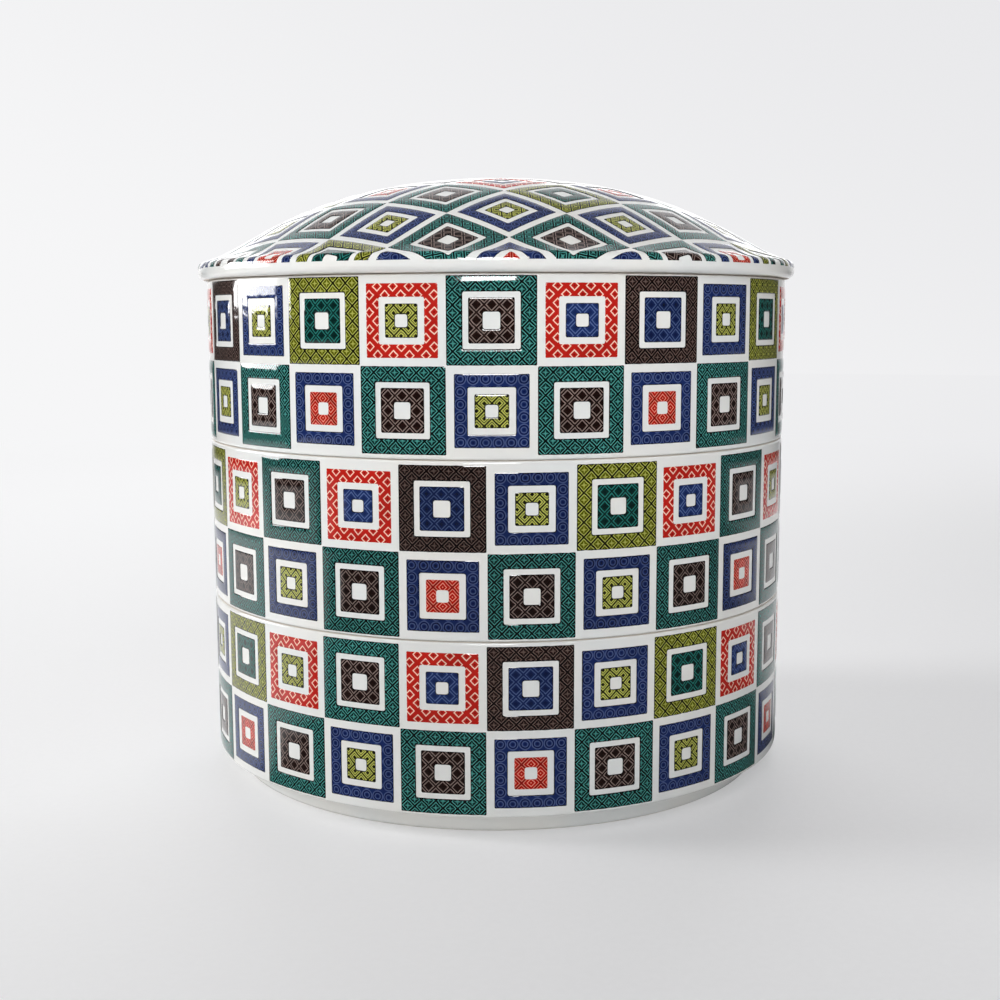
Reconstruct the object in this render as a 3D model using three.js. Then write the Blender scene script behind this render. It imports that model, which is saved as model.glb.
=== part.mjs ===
// Round porcelain food box: three tiers that nest foot in mouth, under a low domed lid.
// Millimetres, +Z up. The origin is the centre of the ring that the lowest foot stands on.
import * as THREE from 'three';

// Driving dimensions of a tier
const BODY_RADIUS = 88; // outside of the wall
const WALL = 5; // thickness of the wall
const TIER_HEIGHT = 46.8; // from the shoulder up to the rim
const FLOOR = 5.5; // thickness of the floor
const FOOT_HEIGHT = 6.2; // from the standing edge up to the shoulder
const FOOT_WIDTH = 5.5; // from the foot ring's outside to its inside
const FOOT_RECESS = 3.5; // depth of the hollow inside the foot ring

// Driving dimensions of the lid
const LID_RISE = 30.2; // from the lip's underside up to the top of the dome
const LID_WALL = 4.8; // thickness of the dome
const LIP_OVERHANG = 2.6; // how far the lip stands out past the wall
const LIP_EDGE = 3; // from the lip's underside up to where its edge rounds over
const CROWN_REACH = 59; // how far the top of the dome pulls the curve outward
const FLARE_REACH = 15.5; // how far the lip pulls the curve inward
const FLARE_SLOPE = THREE.MathUtils.degToRad(14); // fall of the dome where it meets the lip
const FLANGE_DEPTH = 5; // how far the locating flange reaches down into the mouth
const FLANGE_WIDTH = 4.5; // from the flange's outside to its inside

// Fits between the pieces
const NEST_CLEARANCE = 1.5; // foot or flange to the mouth around it, on the radius
const SEAT_GAP = 0.1; // shoulder or lip to the unglazed rim under it

// Rounded edges
const SHOULDER_ROUND = 0.6; // lower outside corner of the wall
const RIM_ROUND = 0.8; // both corners of the rim
const FOOT_ROUND = 1; // both corners of the standing edge
const RECESS_FILLET = 1.2; // foot ring to the underside of the floor
const FLOOR_FILLET = 6; // floor to wall, inside
const LIP_UNDER_ROUND = 2; // lower corner of the lip's edge
const LIP_TOP_ROUND = 2.2; // upper corner of the lip's edge
const FLANGE_ROUND = 1.2; // both corners of the flange's lower edge

// Fineness of the turned surfaces
const TURN_STEPS = 48;
const ROUND_STEPS = 2;
const FILLET_STEPS = 3;
const DOME_STEPS = 12;

// Sizes that follow from the ones above
const MOUTH_RADIUS = BODY_RADIUS - WALL;
const NEST_RADIUS = MOUTH_RADIUS - NEST_CLEARANCE;
const FOOT_INSIDE = NEST_RADIUS - FOOT_WIDTH;
const RIM_HEIGHT = FOOT_HEIGHT + TIER_HEIGHT;
const FLOOR_HEIGHT = FOOT_RECESS + FLOOR;
const STACK_PITCH = TIER_HEIGHT + SEAT_GAP;
const LIP_RADIUS = BODY_RADIUS + LIP_OVERHANG;
const FLANGE_INSIDE = NEST_RADIUS - FLANGE_WIDTH;

// Directions on a profile, where right is away from the axis
const RIGHT = 0;
const UP = Math.PI / 2;
const LEFT = Math.PI;
const DOWN = -Math.PI / 2;

// Points of a rounded corner about its centre, from one direction to another
function corner(radius, height, round, from, to, steps = ROUND_STEPS) {
  const points = [];
  for (let step = 0; step <= steps; step += 1) {
    const angle = from + ((to - from) * step) / steps;
    points.push(new THREE.Vector2(radius + round * Math.cos(angle), height + round * Math.sin(angle)));
  }
  return points;
}

// Height of a profile at a radius, between the two of its points on either side
function heightAt(points, radius) {
  const outer = points.findIndex((point) => point.x > radius);
  const [a, b] = [points[outer - 1], points[outer]];
  return a.y + ((b.y - a.y) * (radius - a.x)) / (b.x - a.x);
}

// A tier from the middle of its underside, round the outside and back to the middle of its floor
function tierProfile() {
  const wallSide = BODY_RADIUS - SHOULDER_ROUND;
  const shoulderTop = FOOT_HEIGHT + SHOULDER_ROUND;
  const rimSide = RIM_HEIGHT - RIM_ROUND;
  const floorSide = MOUTH_RADIUS - FLOOR_FILLET;
  const filletTop = FLOOR_HEIGHT + FLOOR_FILLET;
  return [
    new THREE.Vector2(0, FOOT_RECESS),
    ...corner(FOOT_INSIDE - RECESS_FILLET, FOOT_RECESS - RECESS_FILLET, RECESS_FILLET, UP, RIGHT),
    ...corner(FOOT_INSIDE + FOOT_ROUND, FOOT_ROUND, FOOT_ROUND, -LEFT, DOWN),
    ...corner(NEST_RADIUS - FOOT_ROUND, FOOT_ROUND, FOOT_ROUND, DOWN, RIGHT),
    new THREE.Vector2(NEST_RADIUS, FOOT_HEIGHT),
    ...corner(wallSide, shoulderTop, SHOULDER_ROUND, DOWN, RIGHT),
    ...corner(BODY_RADIUS - RIM_ROUND, rimSide, RIM_ROUND, RIGHT, UP),
    ...corner(MOUTH_RADIUS + RIM_ROUND, rimSide, RIM_ROUND, UP, LEFT),
    ...corner(floorSide, filletTop, FLOOR_FILLET, RIGHT, DOWN, FILLET_STEPS),
    new THREE.Vector2(0, FLOOR_HEIGHT),
  ];
}

// The dome's outside, from the top of the crown out to the lip
function domeCurve() {
  const fall = new THREE.Vector2(Math.cos(FLARE_SLOPE), -Math.sin(FLARE_SLOPE));
  const outward = new THREE.Vector2(-fall.y, fall.x);
  const lipCentre = new THREE.Vector2(LIP_RADIUS - LIP_TOP_ROUND, LIP_EDGE);
  const lip = lipCentre.addScaledVector(outward, LIP_TOP_ROUND);
  return new THREE.CubicBezierCurve(
    new THREE.Vector2(0, LID_RISE),
    new THREE.Vector2(CROWN_REACH, LID_RISE),
    lip.clone().addScaledVector(fall, -FLARE_REACH),
    lip,
  );
}

// The dome's inside: the outside moved in by the thickness of the dome
function domeInside(curve) {
  const points = [];
  for (let step = 0; step <= DOME_STEPS; step += 1) {
    const tangent = curve.getTangent(step / DOME_STEPS);
    const inward = new THREE.Vector2(tangent.y, -tangent.x);
    points.push(curve.getPoint(step / DOME_STEPS).addScaledVector(inward, LID_WALL));
  }
  return points;
}

// The lid from the middle of its inside, round the flange and lip and back to the top of the dome
function lidProfile() {
  const curve = domeCurve();
  const inside = domeInside(curve);
  const underDome = inside.filter((point) => point.x < FLANGE_INSIDE);
  const flangeCorner = FLANGE_ROUND - FLANGE_DEPTH;
  const lipSide = LIP_RADIUS - LIP_UNDER_ROUND;
  const lipTop = LIP_RADIUS - LIP_TOP_ROUND;
  return [
    ...underDome,
    new THREE.Vector2(FLANGE_INSIDE, heightAt(inside, FLANGE_INSIDE)),
    ...corner(FLANGE_INSIDE + FLANGE_ROUND, flangeCorner, FLANGE_ROUND, -LEFT, DOWN),
    ...corner(NEST_RADIUS - FLANGE_ROUND, flangeCorner, FLANGE_ROUND, DOWN, RIGHT),
    new THREE.Vector2(NEST_RADIUS, 0),
    ...corner(lipSide, LIP_UNDER_ROUND, LIP_UNDER_ROUND, DOWN, RIGHT),
    ...corner(lipTop, LIP_EDGE, LIP_TOP_ROUND, RIGHT, UP - FLARE_SLOPE),
    ...curve.getPoints(DOME_STEPS).reverse().slice(1),
  ];
}

// White porcelain under a clear glaze
const porcelain = new THREE.MeshStandardMaterial({ color: 0xf2f1ec, roughness: 0.12, metalness: 0 });

// One piece, turned about the vertical axis and set at its height in the stack
function turned(name, profile, height) {
  const geometry = new THREE.LatheGeometry(profile, TURN_STEPS).rotateX(Math.PI / 2);
  const mesh = new THREE.Mesh(geometry, porcelain);
  mesh.name = name;
  mesh.position.z = height;
  return mesh;
}

// The stack, from the tier that stands on the table up to the lid
const foodBox = new THREE.Group();
const tierNames = ['lower_tier', 'middle_tier', 'upper_tier'];
tierNames.forEach((name, level) => foodBox.add(turned(name, tierProfile(), level * STACK_PITCH)));
foodBox.add(turned('lid', lidProfile(), FOOT_HEIGHT + tierNames.length * STACK_PITCH));

export default foodBox;
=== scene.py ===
import math
import random

import bpy
from mathutils import Matrix, Vector


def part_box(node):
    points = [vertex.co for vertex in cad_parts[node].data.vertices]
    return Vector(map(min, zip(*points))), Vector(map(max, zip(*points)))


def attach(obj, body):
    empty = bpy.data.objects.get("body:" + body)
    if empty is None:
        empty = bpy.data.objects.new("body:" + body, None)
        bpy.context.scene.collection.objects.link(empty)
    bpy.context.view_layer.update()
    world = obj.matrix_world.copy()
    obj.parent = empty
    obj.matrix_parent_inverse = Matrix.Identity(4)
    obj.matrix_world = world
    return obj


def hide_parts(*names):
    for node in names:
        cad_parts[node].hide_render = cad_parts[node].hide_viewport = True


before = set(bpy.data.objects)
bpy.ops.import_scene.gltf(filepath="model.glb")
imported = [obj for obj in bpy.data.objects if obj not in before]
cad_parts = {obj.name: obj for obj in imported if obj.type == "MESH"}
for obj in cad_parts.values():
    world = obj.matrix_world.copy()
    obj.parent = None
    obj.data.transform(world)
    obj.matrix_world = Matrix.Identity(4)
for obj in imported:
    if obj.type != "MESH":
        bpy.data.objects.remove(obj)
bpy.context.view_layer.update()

# Looks of the round porcelain food box: smooth glazed pieces with raised enamel in nested squares.
# Lengths are in millimetres and angles in degrees. +Z is up and -Y faces the viewer.
MM = 0.001
TIERS = ("lower_tier", "middle_tier", "upper_tier")

# Sizes of a tier, as in the part's source
BODY_RADIUS = 88
WALL = 5
TIER_HEIGHT = 46.8
FLOOR = 5.5
FOOT_HEIGHT = 6.2
FOOT_WIDTH = 5.5
FOOT_RECESS = 3.5

# Sizes of the lid, as in the part's source
LID_RISE = 30.2
LID_WALL = 4.8
LIP_OVERHANG = 2.6
LIP_EDGE = 3
CROWN_REACH = 59
FLARE_REACH = 15.5
FLARE_SLOPE = math.radians(14)
FLANGE_DEPTH = 5
FLANGE_WIDTH = 4.5

# Fits and rounded edges, as in the part's source
NEST_CLEARANCE = 1.5
SHOULDER_ROUND = 0.6
RIM_ROUND = 0.8
FOOT_ROUND = 1
RECESS_FILLET = 1.2
FLOOR_FILLET = 6
LIP_UNDER_ROUND = 2
LIP_TOP_ROUND = 2.2
FLANGE_ROUND = 1.2

# Sizes that follow from the ones above
MOUTH_RADIUS = BODY_RADIUS - WALL
NEST_RADIUS = MOUTH_RADIUS - NEST_CLEARANCE
FOOT_INSIDE = NEST_RADIUS - FOOT_WIDTH
RIM_HEIGHT = FOOT_HEIGHT + TIER_HEIGHT
FLOOR_HEIGHT = FOOT_RECESS + FLOOR
LIP_RADIUS = BODY_RADIUS + LIP_OVERHANG
FLANGE_INSIDE = NEST_RADIUS - FLANGE_WIDTH

# Fineness of the turned surfaces
TURN_STEPS = 240
ROUND_STEPS = 6
FILLET_STEPS = 10
DOME_STEPS = 64
SUPPORT = 0.3  # a long straight stretch keeps its own shading up to this far from its ends
LONG_STRETCH = 6 * SUPPORT
SHARP_ANGLE = math.radians(50)
DOME_STOPS = 400  # where the enamel is set on the dome
LIP_STOPS = 20  # where it is set on the rounding of the lip

# Squares on the wall: where the first column begins, right of the front, and how far the lowest row
# lies above the shoulder
COLUMNS = 24
CELL_WIDTH = 2 * math.pi * BODY_RADIUS / COLUMNS
CELL_HEIGHT = 22.6
FIRST_COLUMN = {"lower_tier": -61.9, "middle_tier": -76.7, "upper_tier": -38.3}
FIRST_ROW = {"lower_tier": 0.6, "middle_tier": 0.5, "upper_tier": 1.1}

# Outer and inner enamel of the squares in twelve columns, which come round twice
UPPER_ROW = (
    ("olive", "green"), ("red", "yellow"), ("green", "brown"), ("red", "blue"),
    ("brown", "blue"), ("blue", "yellow"), ("olive", "green"), ("red", "blue"),
    ("green", "brown"), ("red", "yellow"), ("brown", "blue"), ("blue", "yellow"),
)
LOWER_ROW = (
    ("blue", "red"), ("green", "brown"), ("blue", "yellow"), ("green", "brown"),
    ("blue", "red"), ("green", "brown"), ("blue", "yellow"), ("green", "brown"),
    ("blue", "red"), ("green", "brown"), ("blue", "yellow"), ("green", "brown"),
)

# Squares on the lid: how their grid is turned and set off from the axis
LID_TURN = math.radians(47.1)
LID_OFFSET = Vector((0.5, -2.5))
LID_REACH = 5  # squares from the middle one outward
LID_EDGE_BELOW = 2.8  # how far the pattern runs down the rounding of the lip
LID_TAPER = 1.5  # over which the enamel thins out towards the pattern's edge
HALF_DIAGONAL = 0.72 * CELL_WIDTH  # a little more than from a square's middle to its corner

# A square's borders as shares of its side: outside and inside of the outer ring, then of the inner one
FULL = (1, 0.628, 0.515, 0.185)
FRAMED = (0.835, 0.522, 0.385, 0.138)
BORDER_ROUNDS = (0.3, 0.5, 0.4, 0.6)

# Raised enamel
CORNER_STEPS = 3
SIDE_STEPS = 6
LIP_SIDE_STEPS = 30  # where a ring runs over the rounding of the lip
ACROSS = (0, 0.04, 0.12, 0.26, 0.5, 0.74, 0.88, 0.96, 1)
LIP_ACROSS = (0, 0.04, 0.1, 0.18, 0.28, 0.39, 0.5, 0.61, 0.72, 0.82, 0.9, 0.96, 1)
CROWN_SHARES = (0.02, 0.055)  # height of a ring's crown as a share of its width, from ring to ring
CROWN_PLACE = 0.55  # where the crown is, from the outside in
INNER_DROP = 0.4  # how much of that height is lost towards the inside
SUNK = 0.05  # the border of a ring lies this far under the glaze
GROUND_SLIP = 0.12  # how far a square's ground is set off at random
SEED = 7

# Baked pictures: how much of its place on the sheet a ring fills, and how much of its hole its underside
SHEET_SHARE = 0.95
HOLE_SHARE = 0.93

# Where the glaze is left off: a share of a rounding's height, and heights that count as on the seat
BARE_SHARE = 0.3
FLAT = 0.1

# Directions on a profile, where right is away from the axis
RIGHT = 0
UP = math.pi / 2
LEFT = math.pi
DOWN = -math.pi / 2


# Profiles of the turned pieces

def corner(radius, height, rounding, start, end, steps=ROUND_STEPS):
    """Points of a rounded corner about its centre, from one direction to another."""
    turns = [start + (end - start) * step / steps for step in range(steps + 1)]
    return [(radius + rounding * math.cos(turn), height + rounding * math.sin(turn)) for turn in turns]


def tier_profile():
    """A tier from the middle of its underside, round the outside and back to its floor's middle."""
    wall_side = BODY_RADIUS - SHOULDER_ROUND
    shoulder_top = FOOT_HEIGHT + SHOULDER_ROUND
    rim_side = RIM_HEIGHT - RIM_ROUND
    floor_side = MOUTH_RADIUS - FLOOR_FILLET
    fillet_top = FLOOR_HEIGHT + FLOOR_FILLET
    return [
        (0, FOOT_RECESS),
        *corner(FOOT_INSIDE - RECESS_FILLET, FOOT_RECESS - RECESS_FILLET, RECESS_FILLET, UP, RIGHT),
        *corner(FOOT_INSIDE + FOOT_ROUND, FOOT_ROUND, FOOT_ROUND, -LEFT, DOWN),
        *corner(NEST_RADIUS - FOOT_ROUND, FOOT_ROUND, FOOT_ROUND, DOWN, RIGHT),
        (NEST_RADIUS, FOOT_HEIGHT),
        *corner(wall_side, shoulder_top, SHOULDER_ROUND, DOWN, RIGHT),
        *corner(BODY_RADIUS - RIM_ROUND, rim_side, RIM_ROUND, RIGHT, UP),
        *corner(MOUTH_RADIUS + RIM_ROUND, rim_side, RIM_ROUND, UP, LEFT),
        *corner(floor_side, fillet_top, FLOOR_FILLET, RIGHT, DOWN, FILLET_STEPS),
        (0, FLOOR_HEIGHT),
    ]


def dome_handles():
    """The four handles of the dome's outside curve, from the top of the crown to the lip."""
    fall = Vector((math.cos(FLARE_SLOPE), -math.sin(FLARE_SLOPE)))
    outward = Vector((-fall.y, fall.x))
    lip = Vector((LIP_RADIUS - LIP_TOP_ROUND, LIP_EDGE)) + outward * LIP_TOP_ROUND
    return Vector((0, LID_RISE)), Vector((CROWN_REACH, LID_RISE)), lip - fall * FLARE_REACH, lip


def dome_point(share):
    """A point on the dome's outside and the direction out of it."""
    crown, crown_handle, lip_handle, lip = dome_handles()
    rest = 1 - share
    point = (
        crown * rest**3
        + crown_handle * 3 * rest**2 * share
        + lip_handle * 3 * rest * share**2
        + lip * share**3
    )
    along = (
        (crown_handle - crown) * rest**2
        + (lip_handle - crown_handle) * 2 * rest * share
        + (lip - lip_handle) * share**2
    ).normalized()
    return point, Vector((-along.y, along.x))


def lid_profile():
    """The lid from the middle of its inside, round the flange and lip and back to the top of the dome."""
    dome = [dome_point(step / DOME_STEPS) for step in range(DOME_STEPS + 1)]
    inside = [point - outward * LID_WALL for point, outward in dome]
    under_dome = [(point.x, point.y) for point in inside if point.x < FLANGE_INSIDE]
    flange_corner = FLANGE_ROUND - FLANGE_DEPTH
    lip_top = LIP_RADIUS - LIP_TOP_ROUND
    return [
        *under_dome,
        (FLANGE_INSIDE, under_dome[-1][1] - SUPPORT),
        *corner(FLANGE_INSIDE + FLANGE_ROUND, flange_corner, FLANGE_ROUND, -LEFT, DOWN),
        *corner(NEST_RADIUS - FLANGE_ROUND, flange_corner, FLANGE_ROUND, DOWN, RIGHT),
        (NEST_RADIUS, 0),
        *corner(LIP_RADIUS - LIP_UNDER_ROUND, LIP_UNDER_ROUND, LIP_UNDER_ROUND, DOWN, RIGHT),
        *corner(lip_top, LIP_EDGE, LIP_TOP_ROUND, RIGHT, UP - FLARE_SLOPE),
        *[(point.x, point.y) for point, _ in reversed(dome[:-1])],
    ]


def supported(profile):
    """The profile with a point added near each end of its long straight stretches."""
    points = [profile[0]]
    for start, end in zip(profile, profile[1:]):
        length = math.dist(start, end)
        if length > LONG_STRETCH:
            for share in (SUPPORT / length, 1 - SUPPORT / length):
                points.append(tuple(Vector(start).lerp(Vector(end), share)))
        points.append(end)
    return points


# Meshes

def new_object(name, points, faces):
    """A mesh object from points in millimetres, smooth but for its sharp corners."""
    mesh = bpy.data.meshes.new(name)
    mesh.from_pydata([Vector(point) * MM for point in points], [], faces)
    mesh.shade_smooth()
    mesh.set_sharp_from_angle(angle=SHARP_ANGLE)
    piece = bpy.data.objects.new(name, mesh)
    bpy.context.scene.collection.objects.link(piece)
    return piece


def circle_points(radius, height, steps):
    """Points of a circle about the axis."""
    turns = [2 * math.pi * step / steps for step in range(steps)]
    return [(radius * math.cos(turn), radius * math.sin(turn), height) for turn in turns]


def turned(name, profile, height, bare, materials):
    """A profile turned about the axis. Stretches where bare(start, end) holds take the second material."""
    ends = len(profile) - 1
    points = [(0, 0, height + profile[0][1]), (0, 0, height + profile[-1][1])]
    for radius, level in profile[1:-1]:
        points += circle_points(radius, height + level, TURN_STEPS)
    faces = []
    unglazed = []
    for stretch in range(ends):
        for step in range(TURN_STEPS):
            here = 2 + (stretch - 1) * TURN_STEPS + step
            beside = 2 + (stretch - 1) * TURN_STEPS + (step + 1) % TURN_STEPS
            if stretch == 0:
                faces.append((0, beside + TURN_STEPS, here + TURN_STEPS))
            elif stretch == ends - 1:
                faces.append((here, beside, 1))
            else:
                faces.append((here, beside, beside + TURN_STEPS, here + TURN_STEPS))
            unglazed.append(int(bare(profile[stretch], profile[stretch + 1])))
    piece = new_object(name, points, faces)
    for material in materials:
        piece.data.materials.append(material)
    piece.data.polygons.foreach_set("material_index", unglazed)
    return piece


# Enamel: rings of a square, laid flat in millimetres about its middle

def square_loop(half_width, half_height, rounding, side_steps):
    """Points round a square with rounded corners, anticlockwise."""
    centres = []
    for across, along in ((1, 1), (-1, 1), (-1, -1), (1, -1)):
        centres.append(Vector((across * (half_width - rounding), along * (half_height - rounding))))
    loop = []
    for quarter, centre in enumerate(centres):
        for step in range(CORNER_STEPS + 1):
            turn = (quarter + step / CORNER_STEPS) * math.pi / 2
            loop.append(centre + rounding * Vector((math.cos(turn), math.sin(turn))))
        side = centres[(quarter + 1) % len(centres)] - centre
        start = loop[-1].copy()
        loop += [start + side * step / side_steps for step in range(1, side_steps)]
    return loop


def crown_share(share):
    """Height of a ring as a share of its crown's, at a share of the way from outside to inside."""
    if share < CROWN_PLACE:
        return 1 - (1 - share / CROWN_PLACE) ** 2
    return 1 - INNER_DROP * ((share - CROWN_PLACE) / (1 - CROWN_PLACE)) ** 2


def ring_loops(width, height, borders, rounds, crown, fine=False):
    """Loops of a raised ring from outside to inside, of (x, y, height, from outside, from inside)."""
    band = (borders[0] - borders[1]) * width / 2
    shares, side_steps = (LIP_ACROSS, LIP_SIDE_STEPS) if fine else (ACROSS, SIDE_STEPS)
    loops = []
    for share in shares:
        size = borders[0] + (borders[1] - borders[0]) * share
        rounding = rounds[0] + (rounds[1] - rounds[0]) * share
        level = crown * band * crown_share(share) if 0 < share < 1 else -SUNK
        outline = square_loop(size * width / 2, size * height / 2, rounding, side_steps)
        loops.append([(at.x, at.y, level, share * band, (1 - share) * band) for at in outline])
    return loops


def strips(loops):
    """Faces between each loop and the next."""
    faces = []
    for outer, inner in zip(loops, loops[1:]):
        for here in range(len(outer)):
            there = (here + 1) % len(outer)
            faces.append([outer[here], outer[there], inner[there], inner[here]])
    return faces


def whole_ring(loops):
    """Faces of a ring with its underside, which runs from its inside back to its outside."""
    return strips(loops + loops[:1])


def sunk(at):
    """The point under a point of the enamel's face, in the glaze."""
    return (at[0], at[1], -SUNK, at[3], at[4])


def clipped(face, to_plan, reach):
    """What of a face is inside a circle in plan, and its cuts: (point, whether the outline leaves there)."""
    spots = [to_plan(at) for at in face]
    inside = [spot.length <= reach for spot in spots]
    piece = []
    cuts = []
    for here in range(len(face)):
        there = (here + 1) % len(face)
        if inside[here]:
            piece.append(face[here])
        if inside[here] != inside[there]:
            share = crossing(spots[here], spots[there], reach)
            edge = tuple(a + (b - a) * share for a, b in zip(face[here], face[there]))
            piece.append(edge)
            cuts.append((edge, inside[here]))
    return piece, cuts


def trimmed(faces, to_plan, reach):
    """Faces of a ring cut at a circle in plan, with a wall along the cut and a bottom underneath."""
    kept = []
    for face in faces:
        piece, cuts = clipped(face, to_plan, reach)
        if len(piece) < 3:
            continue
        kept.append(piece)
        kept.append([sunk(at) for at in reversed(piece)])
        if len(cuts) == 2:
            leaving = next(edge for edge, leaves in cuts if leaves)
            entering = next(edge for edge, leaves in cuts if not leaves)
            kept.append([leaving, sunk(leaving), sunk(entering), entering])
    return kept


def crossing(start, end, reach):
    """Share of the way from start to end at which a circle about the origin is met."""
    way = end - start
    square = way.length_squared
    half = start.dot(way) / square
    root = math.sqrt(half * half - (start.length_squared - reach * reach) / square)
    return -half + root if 0 <= -half + root <= 1 else -half - root


class Enamel:
    """Enamel of one colour on one piece, as a mesh that grows by a raised ring at a time."""

    def __init__(self):
        self.points = []
        self.faces = []
        self.grounds = []
        self.cell_map = []
        self.edge_map = []
        self.bake_map = []
        self.rings = 0

    def add(self, faces, ground, to_space, slip, borders):
        """Adds a ring's faces, set on the piece by to_space(x, y, height)."""
        numbers = {}
        for face in faces:
            indices = []
            for x, y, level, outside, inside in face:
                key = (round(x, 4), round(y, 4), round(level, 4))
                if key not in numbers:
                    numbers[key] = len(self.points)
                    self.points.append(to_space(x, y, level))
                indices.append(numbers[key])
            if len(set(indices)) < 3:
                continue
            indices, face = without_repeats(indices, face)
            under = all(at[2] == -SUNK for at in face)
            self.faces.append(indices)
            self.grounds.append(ground)
            for x, y, level, outside, inside in face:
                self.cell_map.append((x + slip.x, y + slip.y))
                self.edge_map.append((outside, inside))
                nested = HOLE_SHARE * borders[1] / borders[0] if under else 1
                self.bake_map.append((self.rings, x * nested, y * nested, borders[0]))
        self.rings += 1

    def build(self, name, materials):
        """The enamel as an object with maps for its ground, its edges and its baked picture."""
        piece = new_object(name, self.points, self.faces)
        piece.data.polygons.foreach_set("material_index", self.grounds)
        for material in materials:
            piece.data.materials.append(material)
        set_map(piece.data, "Cell", self.cell_map)
        set_map(piece.data, "Edge", self.edge_map)
        set_map(piece.data, "OFBake", self.laid_out())
        return piece

    def laid_out(self):
        """Each ring in a square of its own on one sheet, its underside in its hole."""
        across = math.ceil(math.sqrt(self.rings))
        spots = []
        for ring, x, y, border in self.bake_map:
            column, row = ring % across, ring // across
            scale = SHEET_SHARE / (border * CELL_WIDTH)
            spots.append(((column + 0.5 + x * scale) / across, (row + 0.5 + y * scale) / across))
        return spots


def without_repeats(indices, face):
    """A face's point numbers and corners without those that repeat the one before."""
    keep = [at for at in range(len(indices)) if indices[at] != indices[at - 1]]
    return [indices[at] for at in keep], [face[at] for at in keep]


def set_map(mesh, name, spots):
    """A UV map from one spot per face corner."""
    layer = mesh.uv_layers.new(name=name)
    layer.data.foreach_set("uv", [value for spot in spots for value in spot])


# Where the enamel lies

def wall_point(height):
    """The wall's outside at a height over the standing edge, and the direction out of it."""
    for centre, rounding, sign in (
        (FOOT_HEIGHT + SHOULDER_ROUND, SHOULDER_ROUND, -1),
        (RIM_HEIGHT - RIM_ROUND, RIM_ROUND, 1),
    ):
        if (height - centre) * sign > 0:
            tilt = math.asin((height - centre) / rounding)
            outward = Vector((math.cos(tilt), math.sin(tilt)))
            return Vector((BODY_RADIUS - rounding, centre)) + outward * rounding, outward
    return Vector((BODY_RADIUS, height)), Vector((1, 0))


def on_wall(turn, middle, level):
    """How a square's flat points are set on a wall, for its middle's turn from the front and height."""
    def to_space(x, y, raised):
        point, outward = wall_point(middle + y)
        place = point + outward * raised
        angle = turn + x / BODY_RADIUS
        return place.x * math.sin(angle), -place.x * math.cos(angle), level + place.y
    return to_space


def dome_lengths():
    """The lid's outside from the axis to the lip's side: (length along it, point, direction out of it)."""
    stops = [dome_point(step / DOME_STOPS) for step in range(DOME_STOPS + 1)]
    centre = Vector((LIP_RADIUS - LIP_TOP_ROUND, LIP_EDGE))
    for step in range(1, LIP_STOPS + 1):
        turn = UP - FLARE_SLOPE + (RIGHT - UP + FLARE_SLOPE) * step / LIP_STOPS
        outward = Vector((math.cos(turn), math.sin(turn)))
        stops.append((centre + outward * LIP_TOP_ROUND, outward))
    lengths = [0]
    for (start, _), (end, _) in zip(stops, stops[1:]):
        lengths.append(lengths[-1] + (end - start).length)
    return [(length, point, outward) for length, (point, outward) in zip(lengths, stops)]


DOME = dome_lengths()
LID_PATTERN_REACH = DOME[DOME_STOPS][0] + LID_EDGE_BELOW


def on_dome(length):
    """The point at a length along the lid's outside, and the direction out of it."""
    low, high = 0, len(DOME) - 1
    while high - low > 1:
        middle = (low + high) // 2
        if DOME[middle][0] <= length:
            low = middle
        else:
            high = middle
    (start, point, outward), (end, next_point, next_outward) = DOME[low], DOME[high]
    share = (length - start) / (end - start)
    return point.lerp(next_point, share), outward.lerp(next_outward, share).normalized()


def lid_plan(column, row):
    """How a square's flat points are laid on the lid's plan, where length runs along the dome."""
    turn = Matrix.Rotation(LID_TURN, 2)
    middle = LID_OFFSET + turn @ Vector((column * CELL_WIDTH, row * CELL_WIDTH))
    return lambda at: middle + turn @ Vector((at[0], at[1]))


def on_lid(to_plan, height):
    """How a square's flat points are set on the lid."""
    def to_space(x, y, level):
        spot = to_plan((x, y))
        point, outward = on_dome(spot.length)
        taper = min(1, max(0, LID_PATTERN_REACH - spot.length) / LID_TAPER) if level > 0 else 1
        place = point + outward * level * taper
        around = spot.normalized() if spot.length else Vector((1, 0))
        return place.x * around.x, place.x * around.y, height + place.y
    return to_space


def lid_colours(column, row):
    """Outer and inner enamel of a square of the lid, which repeats at each quarter turn."""
    far, near = sorted((abs(column), abs(row)), reverse=True)
    if (column + row) % 2 == 0:
        table = {(0, 0): ("red", "yellow"), (1, 1): ("red", "blue")}
        yellow = {(2, 2), (3, 1), (4, 2)}
        return table.get((far, near), ("blue", "yellow" if (far, near) in yellow else "red"))
    spots = [(-1, -2), (-4, -1)]
    for _ in range(3):
        spots += [(-b, a) for a, b in spots]
    if (column, row) in spots:
        return "olive", "green"
    return ("brown", "blue") if (far, near) == (1, 0) else ("green", "brown")


# Materials

def linear_share(share):
    """A display value from 0 to 1 as a linear one."""
    return share / 12.92 if share <= 0.04045 else ((share + 0.055) / 1.055) ** 2.4


def linear(colour):
    """A colour in display values from 0 to 255 as the linear one that shaders take."""
    return (*[linear_share(value / 255) for value in colour], 1)


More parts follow.
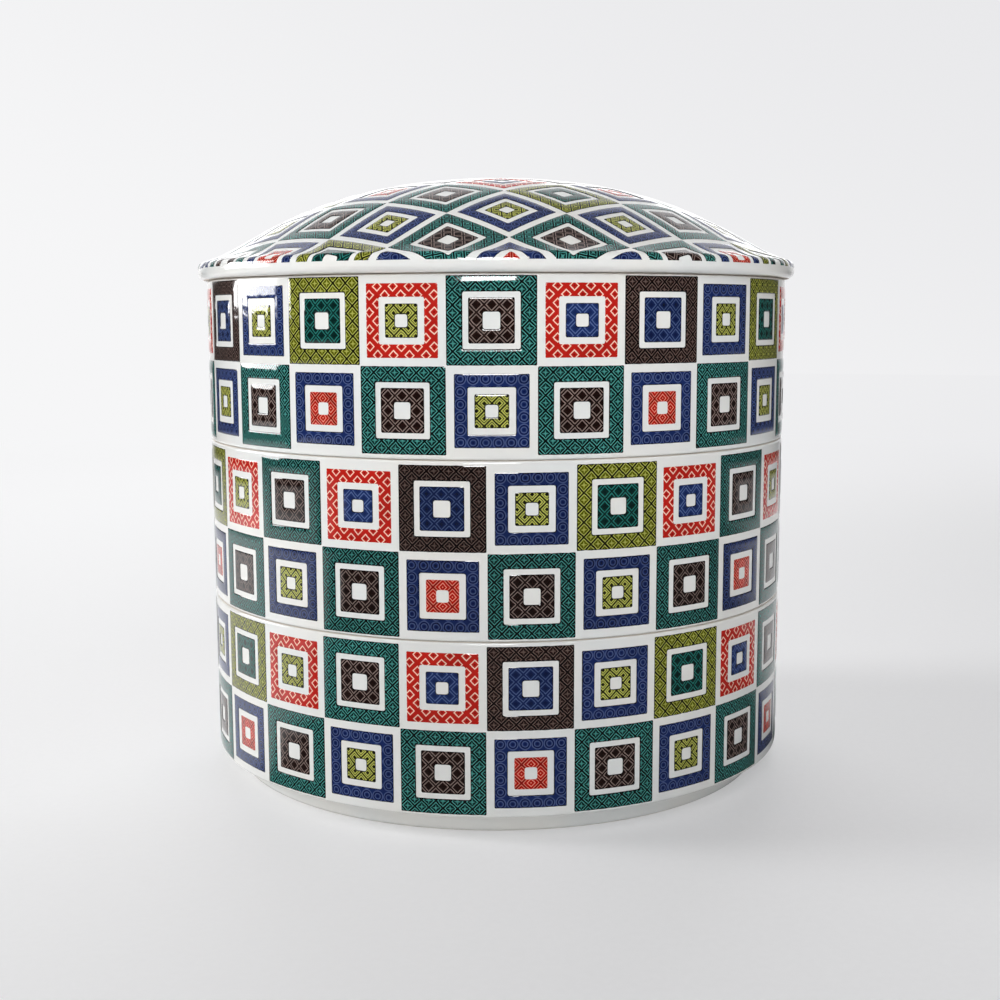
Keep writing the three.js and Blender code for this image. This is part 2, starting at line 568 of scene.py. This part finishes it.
class Nodes:
    """A node tree that grows by a node at a time."""

    def __init__(self, owner):
        owner.use_nodes = True
        self.tree = owner.node_tree

    def feed(self, socket, value):
        """Sets a socket from another node's output or from a plain value."""
        if isinstance(value, bpy.types.NodeSocket):
            self.tree.links.new(value, socket)
        else:
            socket.default_value = value

    def node(self, kind, inputs=None, **settings):
        """A node with its settings and inputs."""
        made = self.tree.nodes.new(kind)
        for name, value in settings.items():
            setattr(made, name, value)
        for socket, value in (inputs or {}).items():
            self.feed(made.inputs[socket], value)
        return made

    def math(self, operation, *values):
        """The result of an operation on one to three values."""
        return self.node("ShaderNodeMath", dict(enumerate(values)), operation=operation).outputs[0]

    def length(self, x, y):
        """Length of the way from the origin to (x, y)."""
        return self.math("SQRT", self.math("MULTIPLY_ADD", x, x, self.math("MULTIPLY", y, y)))

    def ease(self, value, start, end, low=0, high=1):
        """A smooth step from low at start to high at end."""
        inputs = {"Value": value, "From Min": start, "From Max": end, "To Min": low, "To Max": high}
        return self.node("ShaderNodeMapRange", inputs, interpolation_type="SMOOTHSTEP").outputs[0]

    def blend(self, share, first, second):
        """A colour between two."""
        return self.node("ShaderNodeMix", {0: share, 6: first, 7: second}, data_type="RGBA").outputs[2]

    def bands(self, value, tones, soft):
        """A colour for each stretch of a value, as (upper end, colour), with soft ends."""
        ramp = self.node("ShaderNodeValToRGB", {0: value})
        stops = []
        start = 0
        for end, colour in tones:
            stops += [(start + soft, colour), (end - soft, colour)]
            start = end
        while len(ramp.color_ramp.elements) < len(stops):
            ramp.color_ramp.elements.new(1)
        for element, (place, colour) in zip(ramp.color_ramp.elements, stops):
            element.position = place
            element.color = linear(colour)
        return ramp.outputs[0]

    def map(self, name):
        """The two values of a UV map."""
        across, along, _ = self.parts(self.node("ShaderNodeUVMap", uv_map=name).outputs[0])
        return across, along

    def place(self):
        """Where a point is on its piece, in metres."""
        return self.node("ShaderNodeTexCoord").outputs["Object"]

    def parts(self, vector):
        """The three values of a vector."""
        return self.node("ShaderNodeSeparateXYZ", {0: vector}).outputs

    def noise(self, size, detail=2):
        """Noise with features of about this size in millimetres, fixed to the piece."""
        inputs = {"Vector": self.place(), "Scale": 1 / (size * MM), "Detail": detail}
        return self.node("ShaderNodeTexNoise", inputs).outputs[0]

    def drift(self, size, stretch, values, detail=2):
        """A value that drifts between two values, over features of about this size in millimetres."""
        return self.ease(self.noise(size, detail), *stretch, *values)

    def seen(self):
        """One where the viewer sees a point directly, and one where it is mirrored or behind glass."""
        path = self.node("ShaderNodeLightPath").outputs
        mirrored = self.math("MAXIMUM", path["Is Glossy Ray"], path["Is Transmission Ray"])
        return path["Is Camera Ray"], mirrored


class Paint(Nodes):
    """A material with one glossy shader."""

    def __init__(self, name, ior):
        self.material = bpy.data.materials.new(name)
        super().__init__(self.material)
        self.shader = self.tree.nodes["Principled BSDF"]
        self.shader.inputs["IOR"].default_value = ior

    def look(self, colour, roughness):
        """Sets the shader's colour and roughness."""
        self.feed(self.shader.inputs["Base Color"], colour)
        self.feed(self.shader.inputs["Roughness"], roughness)

    def bump(self, size, height, detail=2):
        """Unevenness with features of about this size and of this height, in millimetres."""
        inputs = {"Height": self.noise(size, detail), "Strength": 1.0, "Distance": height * MM}
        self.feed(self.shader.inputs["Normal"], self.node("ShaderNodeBump", inputs).outputs[0])

    def glow(self, colour):
        """A shader that shows a colour as it is."""
        return self.node("ShaderNodeEmission", {"Color": colour, "Strength": 1.0}).outputs[0]

    def mixed(self, share, first, second):
        """A shader between two."""
        return self.node("ShaderNodeMixShader", {0: share, 1: first, 2: second}).outputs[0]


# How strongly each surface mirrors
ENAMEL_IOR = 1.6
GLAZE_IOR = 1.5
FLOOR_IOR = 1.45
FLOOR_ROUGHNESS = 0.6

# Drifting values: size of the features in millimetres, stretch of the noise, the two values, and its detail
CLOUDS = (9, (0.25, 0.75), (0.88, 1.12))
OUTLINE_SWELL = (1.2, (0.3, 0.7), (0.7, 1.2))
ENAMEL_ROUGHNESS = (5, (0.3, 0.7), (0.03, 0.07))
GLAZE_TINT = (30, (0.35, 0.65), (0, 1))
GLAZE_ROUGHNESS = (8, (0.3, 0.7), (0.05, 0.1))
BARE_TINT = (0.5, (0.3, 0.7), (0, 1), 4)
BARE_ROUGHNESS = (0.5, (0.3, 0.7), (0.55, 0.75), 4)
FLOOR_GRAIN = (2, (0.3, 0.7), (0, 1), 4)

# Unevenness: size of the features and their height, then the noise's detail
ENAMEL_BUMP = (4, 0.045)
GLAZE_BUMP = (6, 0.01)
BARE_BUMP = (0.5, 0.03, 4)

# Tones of the enamels: the dark of a drawn ground, its middle and its pale lines
TONES = {
    "green": ((0, 12, 12), (0, 40, 38), (84, 166, 158)),
    "olive": ((28, 30, 0), (84, 87, 3), (190, 194, 94)),
    "brown": ((14, 2, 1), (32, 13, 9), (112, 94, 88)),
    "red": ((146, 18, 10), (192, 31, 21), (255, 222, 200)),
    "blue": ((10, 24, 70), (23, 41, 93), (80, 96, 142)),
    "inner_green": ((0, 32, 30), (0, 43, 39), (44, 122, 114)),
    "inner_yellow": ((26, 28, 0), (38, 40, 0), (192, 195, 96)),
    "inner_brown": ((28, 11, 7), (30, 12, 8), (138, 121, 115)),
    "inner_red": ((140, 12, 6), (180, 20, 10), (250, 160, 138)),
    "inner_blue": ((11, 25, 64), (18, 34, 78), (72, 90, 134)),
    "small_blue": ((20, 37, 84), (28, 47, 98), (84, 104, 154)),
}
LOZENGE = CELL_WIDTH / 6  # from one lozenge of a ground to the next
RED_LOZENGE = 4.3
INNER_RED_LOZENGE = 5.0
CIRCLE = FRAMED[0] * CELL_WIDTH / 12  # radius of the touching circles, six across a blue square
LINE_SOFT = 0.03  # how far the ends of a lozenge's tones run into each other
CIRCLE_SOFT = 0.05
STAR_WAIST = 3  # how slender a star is
STAR_REACH = (0.6, 0.3)  # where its pale tone begins, and where it is strongest
STAR_SHARE = 0.7  # how strong it is there


def lozenges(paint, x, y, pitch):
    """Lozenges on their corners: how far a point is along both slopes, and from middle (0) to edge (1)."""
    rise = paint.math("PINGPONG", paint.math("DIVIDE", paint.math("ADD", x, y), pitch), 0.5)
    fall = paint.math("PINGPONG", paint.math("DIVIDE", paint.math("SUBTRACT", x, y), pitch), 0.5)
    return rise, fall, paint.math("MULTIPLY", paint.math("MAXIMUM", rise, fall), 2)


def starred(paint, x, y, dark, ground, pale_line):
    """Lozenges between dark lines, each with a pale border and a four-pointed star."""
    rise, fall, spread = lozenges(paint, x, y, LOZENGE)
    field = paint.bands(spread, [(0.68, ground), (0.82, pale_line), (1, dark)], LINE_SOFT)
    apart = paint.math("ABSOLUTE", paint.math("SUBTRACT", rise, fall))
    reach = paint.math("MULTIPLY_ADD", apart, STAR_WAIST, paint.math("ADD", rise, fall))
    return paint.blend(paint.ease(reach, *STAR_REACH, 0, STAR_SHARE), field, linear(pale_line))


def paired_lines(paint, x, y, dark, ground, pale_line):
    """Crossing pairs of fine pale lines round dark lozenges."""
    spread = lozenges(paint, x, y, LOZENGE)[2]
    return paint.bands(spread, [(0.34, dark), (0.66, ground), (0.84, pale_line), (1, ground)], LINE_SOFT)


def triple_lines(paint, x, y, dark, ground, pale_line):
    """Pale lozenge outlines one inside the other, round dark lozenges."""
    spread = lozenges(paint, x, y, LOZENGE)[2]
    tones = [(0.3, dark), (0.5, pale_line), (0.64, ground), (0.84, pale_line), (1, ground)]
    return paint.bands(spread, tones, LINE_SOFT)


def dotted_lozenges(paint, x, y, dark, ground, pale_line):
    """Pale lozenge outlines, each with a dark dot."""
    spread = lozenges(paint, paint.math("ADD", x, RED_LOZENGE / 2), y, RED_LOZENGE)[2]
    return paint.bands(spread, [(0.15, dark), (0.46, ground), (0.63, pale_line), (1, ground)], LINE_SOFT)


def crossed_lozenges(paint, x, y, dark, ground, pale_line):
    """Pale lozenge outlines one inside the other, round a pale dot."""
    spread = lozenges(paint, paint.math("ADD", x, INNER_RED_LOZENGE / 2), y, INNER_RED_LOZENGE)[2]
    inner = [(0.08, pale_line), (0.37, ground), (0.47, pale_line)]
    outer = [(0.78, ground), (0.85, pale_line), (1, dark)]
    return paint.bands(spread, inner + outer, LINE_SOFT)


def from_centre(paint, value):
    """Distance of a value from that of the nearest circle's centre."""
    return paint.math("SUBTRACT", CIRCLE, paint.math("PINGPONG", value, CIRCLE))


def circles(paint, x, y, dark, ground, pale_line):
    """Touching circles in fine pale lines, each with a smaller one inside."""
    spread = paint.math("DIVIDE", paint.length(from_centre(paint, x), from_centre(paint, y)), CIRCLE)
    inner = [(0.2, dark), (0.4, ground), (0.54, pale_line)]
    outer = [(0.8, dark), (0.96, pale_line), (1.5, ground)]
    return paint.bands(spread, inner + outer, CIRCLE_SOFT)


# Each enamel's ground, and how wide its dark outline is at the outer and inner edges
GROUNDS = {
    "green": (starred, 0.5, 0.4),
    "olive": (starred, 0.5, 0.4),
    "brown": (starred, 0.5, 0.4),
    "red": (dotted_lozenges, 0, 0),
    "blue": (circles, 0.42, 0.36),
    "inner_green": (paired_lines, 0.4, 0.36),
    "inner_yellow": (triple_lines, 0.42, 0.42),
    "inner_brown": (paired_lines, 0.4, 0.36),
    "inner_red": (crossed_lozenges, 0, 0),
    "inner_blue": (paired_lines, 0.36, 0.36),
    "small_blue": (paired_lines, 0.36, 0.36),
}
OUTLINE = (10, 10, 12)
OUTLINE_CORE = 0.4  # share of an outline's width that has its full tone
WOBBLE = 0.3  # how far the drawn lines wander
WOBBLE_SIZE = 1.6  # over which they wander
DARK_ENAMELS = ("green", "brown", "blue", "inner_brown", "inner_blue")
MIDDLE_SHADE = 0.8  # how bright the middle tier's dark enamels came out of the kiln beside the others


def firing(paint):
    """How bright a dark enamel is at a height in the stack. The height is fixed to the piece."""
    low, high = [end.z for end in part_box("middle_tier")]
    height = paint.parts(paint.place())[2]
    over = paint.math("GREATER_THAN", height, low + FOOT_HEIGHT * MM)
    middle = paint.math("MULTIPLY", over, paint.math("LESS_THAN", height, high))
    return paint.math("MULTIPLY_ADD", middle, MIDDLE_SHADE - 1, 1)


def enamel_material(name):
    """Glassy enamel over a painted ground, with a painted outline."""
    ground, *widths = GROUNDS[name]
    paint = Paint("enamel_" + name, ENAMEL_IOR)
    wander = paint.math("MULTIPLY", paint.math("SUBTRACT", paint.noise(WOBBLE_SIZE), 0.5), WOBBLE)
    x, y = [paint.math("ADD", value, wander) for value in paint.map("Cell")]
    brightness = paint.drift(*CLOUDS)
    if name in DARK_ENAMELS:
        brightness = paint.math("MULTIPLY", brightness, firing(paint))
    inputs = {"Value": brightness, "Color": ground(paint, x, y, *TONES[name])}
    colour = paint.node("ShaderNodeHueSaturation", inputs).outputs[0]
    if any(widths):
        colour = paint.blend(outline_share(paint, widths), colour, linear(OUTLINE))
    paint.look(colour, paint.drift(*ENAMEL_ROUGHNESS))
    paint.bump(*ENAMEL_BUMP)
    return paint.material


def outline_share(paint, widths):
    """How much of a dark outline a point has, for its widths at the outer and inner edges of a ring."""
    swell = paint.drift(*OUTLINE_SWELL)
    shares = []
    for edge, width in zip(paint.map("Edge"), widths):
        shares.append(paint.ease(paint.math("DIVIDE", edge, swell), width, width * OUTLINE_CORE))
    return paint.math("MAXIMUM", *shares)


# Tones of the porcelain, and where a rim's outer edge is darkened with painted shade for the groove under
# the piece above: from its rounding on, whole near the wall's outside
WHITE = (243, 242, 238)
COOL_WHITE = (238, 240, 239)
BARE = (226, 220, 208)
BARE_PALE = (240, 235, 226)
# painted shade: the darker tone of the rim's outer edge, where it sits in the groove under the piece above
GROOVE_SHADE = (214, 206, 197)
GROOVE_SHADE_MARGIN = 0.7
GROOVE_SHADE_REACH = ((BODY_RADIUS - RIM_ROUND) * MM, (BODY_RADIUS - GROOVE_SHADE_MARGIN) * MM)


def glaze_material():
    """White porcelain under clear glaze."""
    paint = Paint("glazed_porcelain", GLAZE_IOR)
    colour = paint.blend(paint.drift(*GLAZE_TINT), linear(WHITE), linear(COOL_WHITE))
    paint.look(colour, paint.drift(*GLAZE_ROUGHNESS))
    paint.bump(*GLAZE_BUMP)
    return paint.material


def bisque_material():
    """Bare porcelain where pieces sit on each other, darkened along the rim's outer edge by painted shade
    for the groove between pieces.
    """
    paint = Paint("bare_porcelain", GLAZE_IOR)
    colour = paint.blend(paint.drift(*BARE_TINT), linear(BARE), linear(BARE_PALE))
    x, y, _ = paint.parts(paint.place())
    # painted shade along the rim's outer edge, for the dark groove between pieces
    edge = paint.ease(paint.length(x, y), *GROOVE_SHADE_REACH)
    paint.look(paint.blend(edge, colour, linear(GROOVE_SHADE)), paint.drift(*BARE_ROUGHNESS))
    paint.bump(*BARE_BUMP)
    return paint.material


# The pieces

GLAZE = glaze_material()
BISQUE = bisque_material()
ENAMELS = {name: enamel_material(name) for name in TONES}

# Enamels of a colour: of outer rings, of inner rings, and of the smaller inner rings where they differ
SMALLER = 2
PALETTE = {
    "green": ("green", "inner_green"),
    "brown": ("brown", "inner_brown"),
    "blue": ("blue", "inner_blue", "small_blue"),
    "red": ("red", "inner_red"),
    "olive": ("olive", "inner_yellow"),
}
slips = random.Random(SEED)


def random_slip():
    """A small offset of a square's painted ground."""
    return Vector((slips.uniform(-GROUND_SLIP, GROUND_SLIP), slips.uniform(-GROUND_SLIP, GROUND_SLIP)))


def place_in_palette(pot, ring, borders):
    """Which enamel of its colour a ring takes."""
    smaller = ring == 1 and borders == FRAMED
    return SMALLER if smaller and len(PALETTE[pot]) > SMALLER else ring


def add_square(enamels, colours, borders, height, to_faces, to_space, fine=False):
    """Adds a square's two rings to their enamels. to_faces makes a ring's faces of its loops."""
    for ring, colour in enumerate(colours):
        ring_borders = borders[2 * ring:2 * ring + 2]
        rounds = BORDER_ROUNDS[2 * ring:2 * ring + 2]
        crown = slips.uniform(*CROWN_SHARES)
        faces = to_faces(ring_loops(CELL_WIDTH, height, ring_borders, rounds, crown, fine))
        if faces:
            pot = "olive" if colour == "yellow" else colour
            ground = place_in_palette(pot, ring, borders)
            enamels[pot].add(faces, ground, to_space, random_slip(), ring_borders)


def finish_enamels(node, enamels):
    """Builds a piece of enamel for each colour on a node, and lets it ride on the node's body."""
    for colour, enamel in enamels.items():
        piece = enamel.build(f"{node}_enamel_{colour}", [ENAMELS[name] for name in PALETTE[colour]])
        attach(piece, node)


def finish_shell(shell, node):
    """Lets a smooth shell stand for a CAD node."""
    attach(shell, node)
    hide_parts(node)


def tier_bare(start, end):
    """Whether a stretch of a tier's profile has no glaze: on the standing edge and on top of the rim."""
    low, high = sorted((start[1], end[1]))
    return high < BARE_SHARE * FOOT_ROUND or low > RIM_HEIGHT - BARE_SHARE * RIM_ROUND


def lid_bare(start, end):
    """Whether a stretch of the lid's profile has no glaze: where it sits on the rim."""
    flat = max(abs(start[1]), abs(end[1])) < FLAT
    return flat and min(start[0], end[0]) > NEST_RADIUS


def make_tier(node):
    """A tier's glazed shell and the squares round its wall."""
    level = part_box(node)[0].z / MM
    shell = turned(node + "_shell", supported(tier_profile()), level, tier_bare, (GLAZE, BISQUE))
    finish_shell(shell, node)
    enamels = {colour: Enamel() for colour in PALETTE}
    for column in range(COLUMNS):
        turn = math.radians(FIRST_COLUMN[node] + (column + 0.5) * 360 / COLUMNS)
        for row, pattern in enumerate((LOWER_ROW, UPPER_ROW)):
            colours = pattern[column % len(pattern)]
            middle = FOOT_HEIGHT + FIRST_ROW[node] + (row + 0.5) * CELL_HEIGHT
            borders = FULL if (column + row) % 2 else FRAMED
            add_square(enamels, colours, borders, CELL_HEIGHT, whole_ring, on_wall(turn, middle, level))
    finish_enamels(node, enamels)


def lid_ring(to_plan):
    """How a ring on the lid gets its faces: whole, cut at the pattern's edge, or none."""
    def to_faces(loops):
        inside = [to_plan(at).length <= LID_PATTERN_REACH for at in loops[0]]
        if all(inside):
            return whole_ring(loops)
        return trimmed(strips(loops), to_plan, LID_PATTERN_REACH) if any(inside) else []
    return to_faces


def make_lid():
    """The lid's glazed shell and the squares over its dome."""
    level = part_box("lid")[0].z / MM + FLANGE_DEPTH
    shell = turned("lid_shell", supported(lid_profile()), level, lid_bare, (GLAZE, BISQUE))
    finish_shell(shell, "lid")
    enamels = {colour: Enamel() for colour in PALETTE}
    reach = range(-LID_REACH, LID_REACH + 1)
    for column, row in [(column, row) for column in reach for row in reach]:
        to_plan = lid_plan(column, row)
        past_edge = to_plan((0, 0)).length - LID_PATTERN_REACH
        if past_edge > HALF_DIAGONAL:
            continue
        colours = lid_colours(column, row)
        borders = FULL if (column + row) % 2 else FRAMED
        to_space = on_lid(to_plan, level)
        fine = past_edge > -HALF_DIAGONAL
        add_square(enamels, colours, borders, CELL_WIDTH, lid_ring(to_plan), to_space, fine)
    finish_enamels("lid", enamels)


for tier in TIERS:
    make_tier(tier)
make_lid()


# Camera, as fitted to the photograph

FOCAL_LENGTH = 49.65
CAMERA_PLACE = Vector((0, -434.1, 135.6)) * MM
CAMERA_PITCH = math.radians(7.518)
CAMERA_ROLL = math.radians(-0.18)
CAMERA_YAW = math.radians(0.124)
CAMERA_CLIP = 0.01


def make_camera():
    """A camera that looks a little down at the box."""
    data = bpy.data.cameras.new("camera")
    data.lens = FOCAL_LENGTH
    data.clip_start = CAMERA_CLIP
    camera = bpy.data.objects.new("camera", data)
    bpy.context.scene.collection.objects.link(camera)
    across = math.cos(CAMERA_PITCH)
    ahead = (math.sin(CAMERA_YAW) * across, math.cos(CAMERA_YAW) * across)
    forward = Vector((*ahead, -math.sin(CAMERA_PITCH)))
    level = Vector((math.cos(CAMERA_YAW), -math.sin(CAMERA_YAW), 0))
    upright = level.cross(forward)
    right = level * math.cos(CAMERA_ROLL) + upright * math.sin(CAMERA_ROLL)
    up = upright * math.cos(CAMERA_ROLL) - level * math.sin(CAMERA_ROLL)
    turn = Matrix((right, up, -forward)).transposed().to_4x4()
    camera.matrix_world = Matrix.Translation(CAMERA_PLACE) @ turn
    bpy.context.scene.camera = camera


# Light, background and floor

AIM = Vector((0, 0, 0.09))
ROOM = (0.05, 0.05, 0.05, 1)
AMBIENT = (0.16, 0.16, 0.16, 1)
PALE_LEFT = (246, 246, 247)
PALE_RIGHT = (233, 233, 235)
PALE_SLANT = 0.6  # how much the tone changes to the right beside upward
PALE_REACH = (-0.2, 0.45)  # where it begins to change, and where it has changed
FLOOR_TONES = (249, 249, 250), (251, 251, 252)
FLOOR_RINGS = (0.3, 0.45, 1.2, 3.0)  # the floor glows like the background beyond the third ring
FADE_START, FADE_END = FLOOR_RINGS[1:3]
NEAR_GLOW = 0.37  # how much the viewer sees of that glow near the box
FLOOR_STEPS = 96
BEHIND = (0.8, 0.95)  # where the mirrored background begins and is whole, as a cosine of the turn from +Y
HIGHER = 0.7  # how much sooner it begins higher up
OVERHEAD = (0.8, 0.46)  # where it is dimmest and where it is whole again, as a sine of the elevation
OVERHEAD_SHARE = 0.12  # how much of it is left where it is dimmest
FRONT_SHADE = 0.97  # how much of the floor before the box is kept out of the glaze, as by a dark card
SHADE_END = (0.85, 0.45)  # where this begins, and where it is strongest
SHADE_LEFT, SHADE_RIGHT = 1.25, 0.5  # how far it is kept away from the sides
TABLE_END = (0.45, 1.15)  # where the mirrored floor begins to end at the sides, and where it has ended

# Lamps: azimuth from the viewer's side, right positive, elevation, distance, width, height and radiance,
# then where they are narrowed the spread and how far the beam is lifted
FILLS = {
    "back": (180, 35, 1.5, 1.2, 0.6, 4.6),
    "left": (-96, 28, 1.4, 0.4, 0.5, 7.8),
    "left_low": (-91, 18, 1.4, 0.4, 0.4, 12.4),
    "front": (5, 25, 0.5, 0.3, 0.2, 0.54, 50, 9),
    "front_low": (0, 2, 1.0, 0.9, 0.2, 1.7),
    "front_right": (27, 50, 0.6, 0.3, 0.3, 2.3),
    "foot": (-4, -4, 0.7, 0.5, 0.1, 0.12, 40, -8),
}
WINDOWS = {
    "front_window": (-2.5, 17, 1.2, 0.4, 0.25, 24),
    "side_window": (-103, 13.5, 1.2, 0.6, 0.46, 10),
    "back_window": (180, 15, 1.5, 1.4, 0.35, 1.2),
}


def direction(azimuth, elevation):
    """The direction from the box towards an azimuth and elevation."""
    turn, tilt = math.radians(azimuth), math.radians(elevation)
    return Vector((math.sin(turn) * math.cos(tilt), -math.cos(turn) * math.cos(tilt), math.sin(tilt)))


def softbox(name, azimuth, elevation, distance, width, height, radiance, spread=180, lift=0):
    """An area lamp that faces the box, or above it where its beam is lifted. Its sizes are in metres."""
    data = bpy.data.lights.new(name, "AREA")
    data.shape = "RECTANGLE"
    data.size = width
    data.size_y = height
    data.energy = radiance * width * height * math.pi
    data.spread = math.radians(spread)
    lamp = bpy.data.objects.new(name, data)
    bpy.context.scene.collection.objects.link(lamp)
    lamp.visible_camera = False
    lamp.location = AIM + direction(azimuth, elevation) * distance
    lamp.rotation_mode = "QUATERNION"
    lamp.rotation_quaternion = direction(azimuth, elevation - lift).to_track_quat("Z", "Y")
    return lamp


def make_lights():
    """Soft lamps that the glaze does not mirror, and windows that are there to be mirrored."""
    for name, setting in FILLS.items():
        softbox(name, *setting).visible_glossy = False
    for name, setting in WINDOWS.items():
        softbox(name, *setting).visible_diffuse = False


def pale(nodes, x, z):
    """The background's tone in a direction: a little paler low on the left than high on the right."""
    share = nodes.ease(nodes.math("MULTIPLY_ADD", x, PALE_SLANT, z), *PALE_REACH)
    return nodes.blend(share, linear(PALE_LEFT), linear(PALE_RIGHT))


def make_world():
    """A dim room. Its background is pale to the viewer, and is mirrored low behind the box."""
    world = bpy.data.worlds.new("room")
    bpy.context.scene.world = world
    nodes = Nodes(world)
    x, y, z = nodes.parts(nodes.node("ShaderNodeTexCoord").outputs["Generated"])
    directly, mirrored = nodes.seen()
    reach = nodes.ease(nodes.math("MULTIPLY_ADD", z, HIGHER, y), *BEHIND)
    behind = nodes.math("MULTIPLY", reach, nodes.ease(z, *OVERHEAD, OVERHEAD_SHARE, 1))
    share = nodes.math("MAXIMUM", directly, nodes.math("MULTIPLY", mirrored, behind))
    colour = nodes.blend(share, nodes.blend(mirrored, AMBIENT, ROOM), pale(nodes, x, z))
    nodes.feed(nodes.tree.nodes["Background"].inputs["Color"], colour)


def mirror_shade(paint, x, y, distance):
    """How much of the floor is kept out of the glaze: before the box, and beyond the table's ends."""
    left = paint.math("MULTIPLY", x, -SHADE_LEFT)
    right = paint.math("MULTIPLY", x, SHADE_RIGHT)
    towards = paint.math("ADD", paint.math("MAXIMUM", left, right), y)
    front = paint.ease(towards, *SHADE_END, 0, FRONT_SHADE)
    beside = paint.ease(y, *BEHIND, 1, 0)
    beyond = paint.math("MULTIPLY", paint.ease(distance, *TABLE_END), beside)
    return paint.math("MAXIMUM", front, beyond)


def floor_material():
    """Pale matt paint that fades into the background far from the box."""
    paint = Paint("pale_floor", FLOOR_IOR)
    low, high = FLOOR_TONES
    paint.look(paint.blend(paint.drift(*FLOOR_GRAIN), linear(low), linear(high)), FLOOR_ROUGHNESS)
    place = paint.place()
    distance = paint.node("ShaderNodeVectorMath", {0: place}, operation="LENGTH").outputs["Value"]
    outward = paint.node("ShaderNodeVectorMath", {0: place}, operation="NORMALIZE").outputs["Vector"]
    x, y, z = paint.parts(outward)
    directly, mirrored = paint.seen()
    seen = paint.math("MAXIMUM", directly, mirrored)
    fade = paint.math("MULTIPLY", paint.ease(distance, FADE_START, FADE_END, NEAR_GLOW, 1), seen)
    faded = paint.mixed(fade, paint.shader.outputs[0], paint.glow(pale(paint, x, z)))
    shade = paint.math("MULTIPLY", mirror_shade(paint, x, y, distance), mirrored)
    shaded = paint.mixed(shade, faded, paint.glow(ROOM))
    paint.feed(paint.tree.nodes["Material Output"].inputs["Surface"], shaded)
    return paint.material


def make_floor():
    """A pale round floor."""
    points = [(0, 0, 0)]
    for radius in FLOOR_RINGS:
        points += circle_points(radius / MM, 0, FLOOR_STEPS)
    faces = [(0, 1 + step, 1 + (step + 1) % FLOOR_STEPS) for step in range(FLOOR_STEPS)]
    for ring in range(len(FLOOR_RINGS) - 1):
        first = 1 + ring * FLOOR_STEPS
        for step in range(FLOOR_STEPS):
            here, beside = first + step, first + (step + 1) % FLOOR_STEPS
            faces.append((here, here + FLOOR_STEPS, beside + FLOOR_STEPS, beside))
    floor = new_object("floor", points, faces)
    floor.data.materials.append(floor_material())


make_camera()
make_lights()
make_world()
make_floor()
bpy.context.scene.view_settings.view_transform = "Standard"
